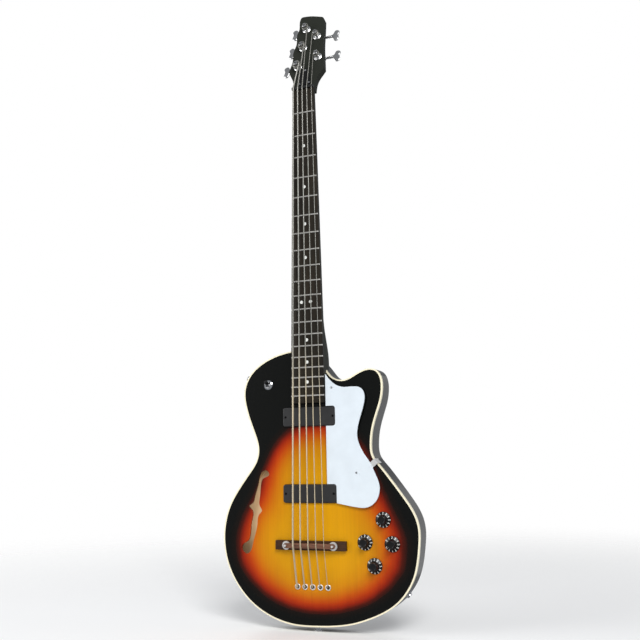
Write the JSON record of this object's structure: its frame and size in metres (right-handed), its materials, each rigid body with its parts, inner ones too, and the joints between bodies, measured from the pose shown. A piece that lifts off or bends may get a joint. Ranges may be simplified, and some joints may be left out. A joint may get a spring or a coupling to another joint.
{
  "type": "bass guitar",
  "caption": "Sunburst electro-acoustic bass guitar with a single cutaway, thin arched hollow body, f-hole, soapbar pickups, raised pickguard and floating wooden bridge.",
  "frame": {"origin": "seat of the tail strap button on the rim, on the centre line and half way through the rim", "axes": "+X to the treble side, +Y from the front of the body to its back, +Z from the tail up the neck"},
  "size_m": [0.3731, 0.0765, 1.1832],
  "materials": {
    "sunburst_top": "gloss sunburst, amber to red to black",
    "black_lacquer": "gloss black lacquer",
    "cream_binding": "gloss",
    "bare_wood": "unfinished",
    "rosewood": "oiled",
    "red_rosewood": "oiled",
    "fret_wire": "polished nickel silver",
    "pearl": "pearl",
    "plain_steel": "plain",
    "string_wire": "round wound",
    "chrome": "polished",
    "brass": "satin",
    "black_plastic": "satin black",
    "white_plastic": "gloss white"
  },
  "bodies": {
    "bass": {"back_ferrules": "chrome", "back_linings": "bare_wood", "body_back": "black_lacquer", "body_top": "sunburst_top", "bridge_foot": "rosewood", "bridge_pickup": "black_plastic", "bridge_studs": "chrome", "center_block": "bare_wood", "fretboard": "rosewood", "frets": "fret_wire", "neck": "black_lacquer", "neck_pickup": "black_plastic", "nut": "black_plastic", "output_jack": "chrome", "panel_nuts": "chrome", "pickguard": "white_plastic", "pickguard_bracket": "chrome", "pickguard_spacer": "black_plastic", "position_dots": "pearl", "potentiometers": "plain_steel", "rim_bass": "black_lacquer", "rim_treble": "black_lacquer", "small_screws": "chrome", "strap_block": "bare_wood", "strap_buttons": "chrome", "strap_screws": "chrome", "strings": "string_wire", "toggle_nut": "chrome", "toggle_switch": "plain_steel", "top_binding": "cream_binding", "top_ferrules": "chrome", "top_linings": "bare_wood", "truss_rod": "plain_steel", "truss_rod_cover": "black_plastic", "tuner_bushings": "chrome", "tuner_plates": "chrome"},
    "neck_volume": {"neck_volume_knob": "black_plastic"},
    "neck_tone": {"neck_tone_knob": "black_plastic"},
    "bridge_volume": {"bridge_volume_knob": "black_plastic"},
    "bridge_tone": {"bridge_tone_knob": "black_plastic"},
    "toggle": {"toggle_lever": "chrome", "toggle_tip": "black_plastic"},
    "post_1": {"tuner_post_1": "chrome", "tuner_gear_1": "brass"},
    "key_1": {"tuner_key_1": "chrome"},
    "post_2": {"tuner_post_2": "chrome", "tuner_gear_2": "brass"},
    "key_2": {"tuner_key_2": "chrome"},
    "post_3": {"tuner_post_3": "chrome", "tuner_gear_3": "brass"},
    "key_3": {"tuner_key_3": "chrome"},
    "post_4": {"tuner_post_4": "chrome", "tuner_gear_4": "brass"},
    "key_4": {"tuner_key_4": "chrome"},
    "post_5": {"tuner_post_5": "chrome", "tuner_gear_5": "brass"},
    "key_5": {"tuner_key_5": "chrome"},
    "saddle": {"bridge_saddle": "red_rosewood"},
    "wheel_bass": {"thumbwheel_bass": "chrome"},
    "wheel_treble": {"thumbwheel_treble": "chrome"}
  },
  "joints": [
    {"name": "neck_volume_knob_turn", "type": "hinge", "parent": "bass", "child": "neck_volume", "pos_m": [0.1337, -0.02472, 0.185], "axis": [0.0418, -0.999, -0.0175], "range_deg": [-150, 150]},
    {"name": "neck_tone_knob_turn", "type": "hinge", "parent": "bass", "child": "neck_tone", "pos_m": [0.1481, -0.02311, 0.1444], "axis": [0.0463, -0.9985, -0.0302], "range_deg": [-150, 150]},
    {"name": "bridge_volume_knob_turn", "type": "hinge", "parent": "bass", "child": "bridge_volume", "pos_m": [0.0999, -0.02504, 0.1465], "axis": [0.0312, -0.9991, -0.0295], "range_deg": [-150, 150]},
    {"name": "bridge_tone_knob_turn", "type": "hinge", "parent": "bass", "child": "bridge_tone", "pos_m": [0.1156, -0.02312, 0.1074], "axis": [0.0361, -0.9985, -0.0417], "range_deg": [-150, 150]},
    {"name": "toggle_tilt", "type": "hinge", "parent": "bass", "child": "toggle", "pos_m": [-0.08345, -0.01951, 0.42678], "axis": [0.9994, -0.0246, 0.0261], "range_deg": [0, 34]},
    {"name": "key_1_turn", "type": "hinge", "parent": "bass", "child": "key_1", "pos_m": [-0.0166, 0.00523, 1.0559], "axis": [-1, 0, 0], "continuous": true},
    {"name": "post_1_turn", "type": "hinge", "parent": "bass", "child": "post_1", "pos_m": [-0.0166, -0.01582, 1.05084], "axis": [0, -0.9703, 0.2419], "continuous": true},
    {"name": "key_2_turn", "type": "hinge", "parent": "bass", "child": "key_2", "pos_m": [-0.0095, 0.01635, 1.10054], "axis": [-1, 0, 0], "continuous": true},
    {"name": "post_2_turn", "type": "hinge", "parent": "bass", "child": "post_2", "pos_m": [-0.0095, -0.00469, 1.09548], "axis": [0, -0.9703, 0.2419], "continuous": true},
    {"name": "key_3_turn", "type": "hinge", "parent": "bass", "child": "key_3", "pos_m": [-0.006, 0.02748, 1.14517], "axis": [-1, 0, 0], "continuous": true},
    {"name": "post_3_turn", "type": "hinge", "parent": "bass", "child": "post_3", "pos_m": [-0.006, 0.00643, 1.14011], "axis": [0, -0.9703, 0.2419], "continuous": true},
    {"name": "key_4_turn", "type": "hinge", "parent": "bass", "child": "key_4", "pos_m": [0.0181, 0.02204, 1.12334], "axis": [1, 0, 0], "continuous": true},
    {"name": "post_4_turn", "type": "hinge", "parent": "bass", "child": "post_4", "pos_m": [0.0181, 0.00099, 1.11828], "axis": [0, -0.9703, 0.2419], "continuous": true},
    {"name": "key_5_turn", "type": "hinge", "parent": "bass", "child": "key_5", "pos_m": [0.024, 0.00929, 1.0722], "axis": [1, 0, 0], "continuous": true},
    {"name": "post_5_turn", "type": "hinge", "parent": "bass", "child": "post_5", "pos_m": [0.024, -0.01176, 1.06714], "axis": [0, -0.9703, 0.2419], "continuous": true},
    {"name": "saddle_height", "type": "slide", "parent": "bass", "child": "saddle", "axis": [0, 1, 0], "range_m": [0, 0.0012]},
    {"name": "wheel_bass_turn", "type": "hinge", "parent": "saddle", "child": "wheel_bass", "pos_m": [-0.0445, -0.0349, 0.1395], "axis": [0, -1, 0], "range_deg": [-540, 0]},
    {"name": "wheel_treble_turn", "type": "hinge", "parent": "saddle", "child": "wheel_treble", "pos_m": [0.0445, -0.0349, 0.1395], "axis": [0, -1, 0], "range_deg": [-540, 0]}
  ],
  "couplings": [
    {"joint": "post_1_turn", "follows": "key_1_turn", "ratio": -0.05},
    {"joint": "post_2_turn", "follows": "key_2_turn", "ratio": -0.05},
    {"joint": "post_3_turn", "follows": "key_3_turn", "ratio": -0.05},
    {"joint": "post_4_turn", "follows": "key_4_turn", "ratio": 0.05},
    {"joint": "post_5_turn", "follows": "key_5_turn", "ratio": 0.05},
    {"joint": "wheel_bass_turn", "follows": "saddle_height", "rad_per_m": -7854},
    {"joint": "wheel_treble_turn", "follows": "saddle_height", "rad_per_m": -7854}
  ]
}
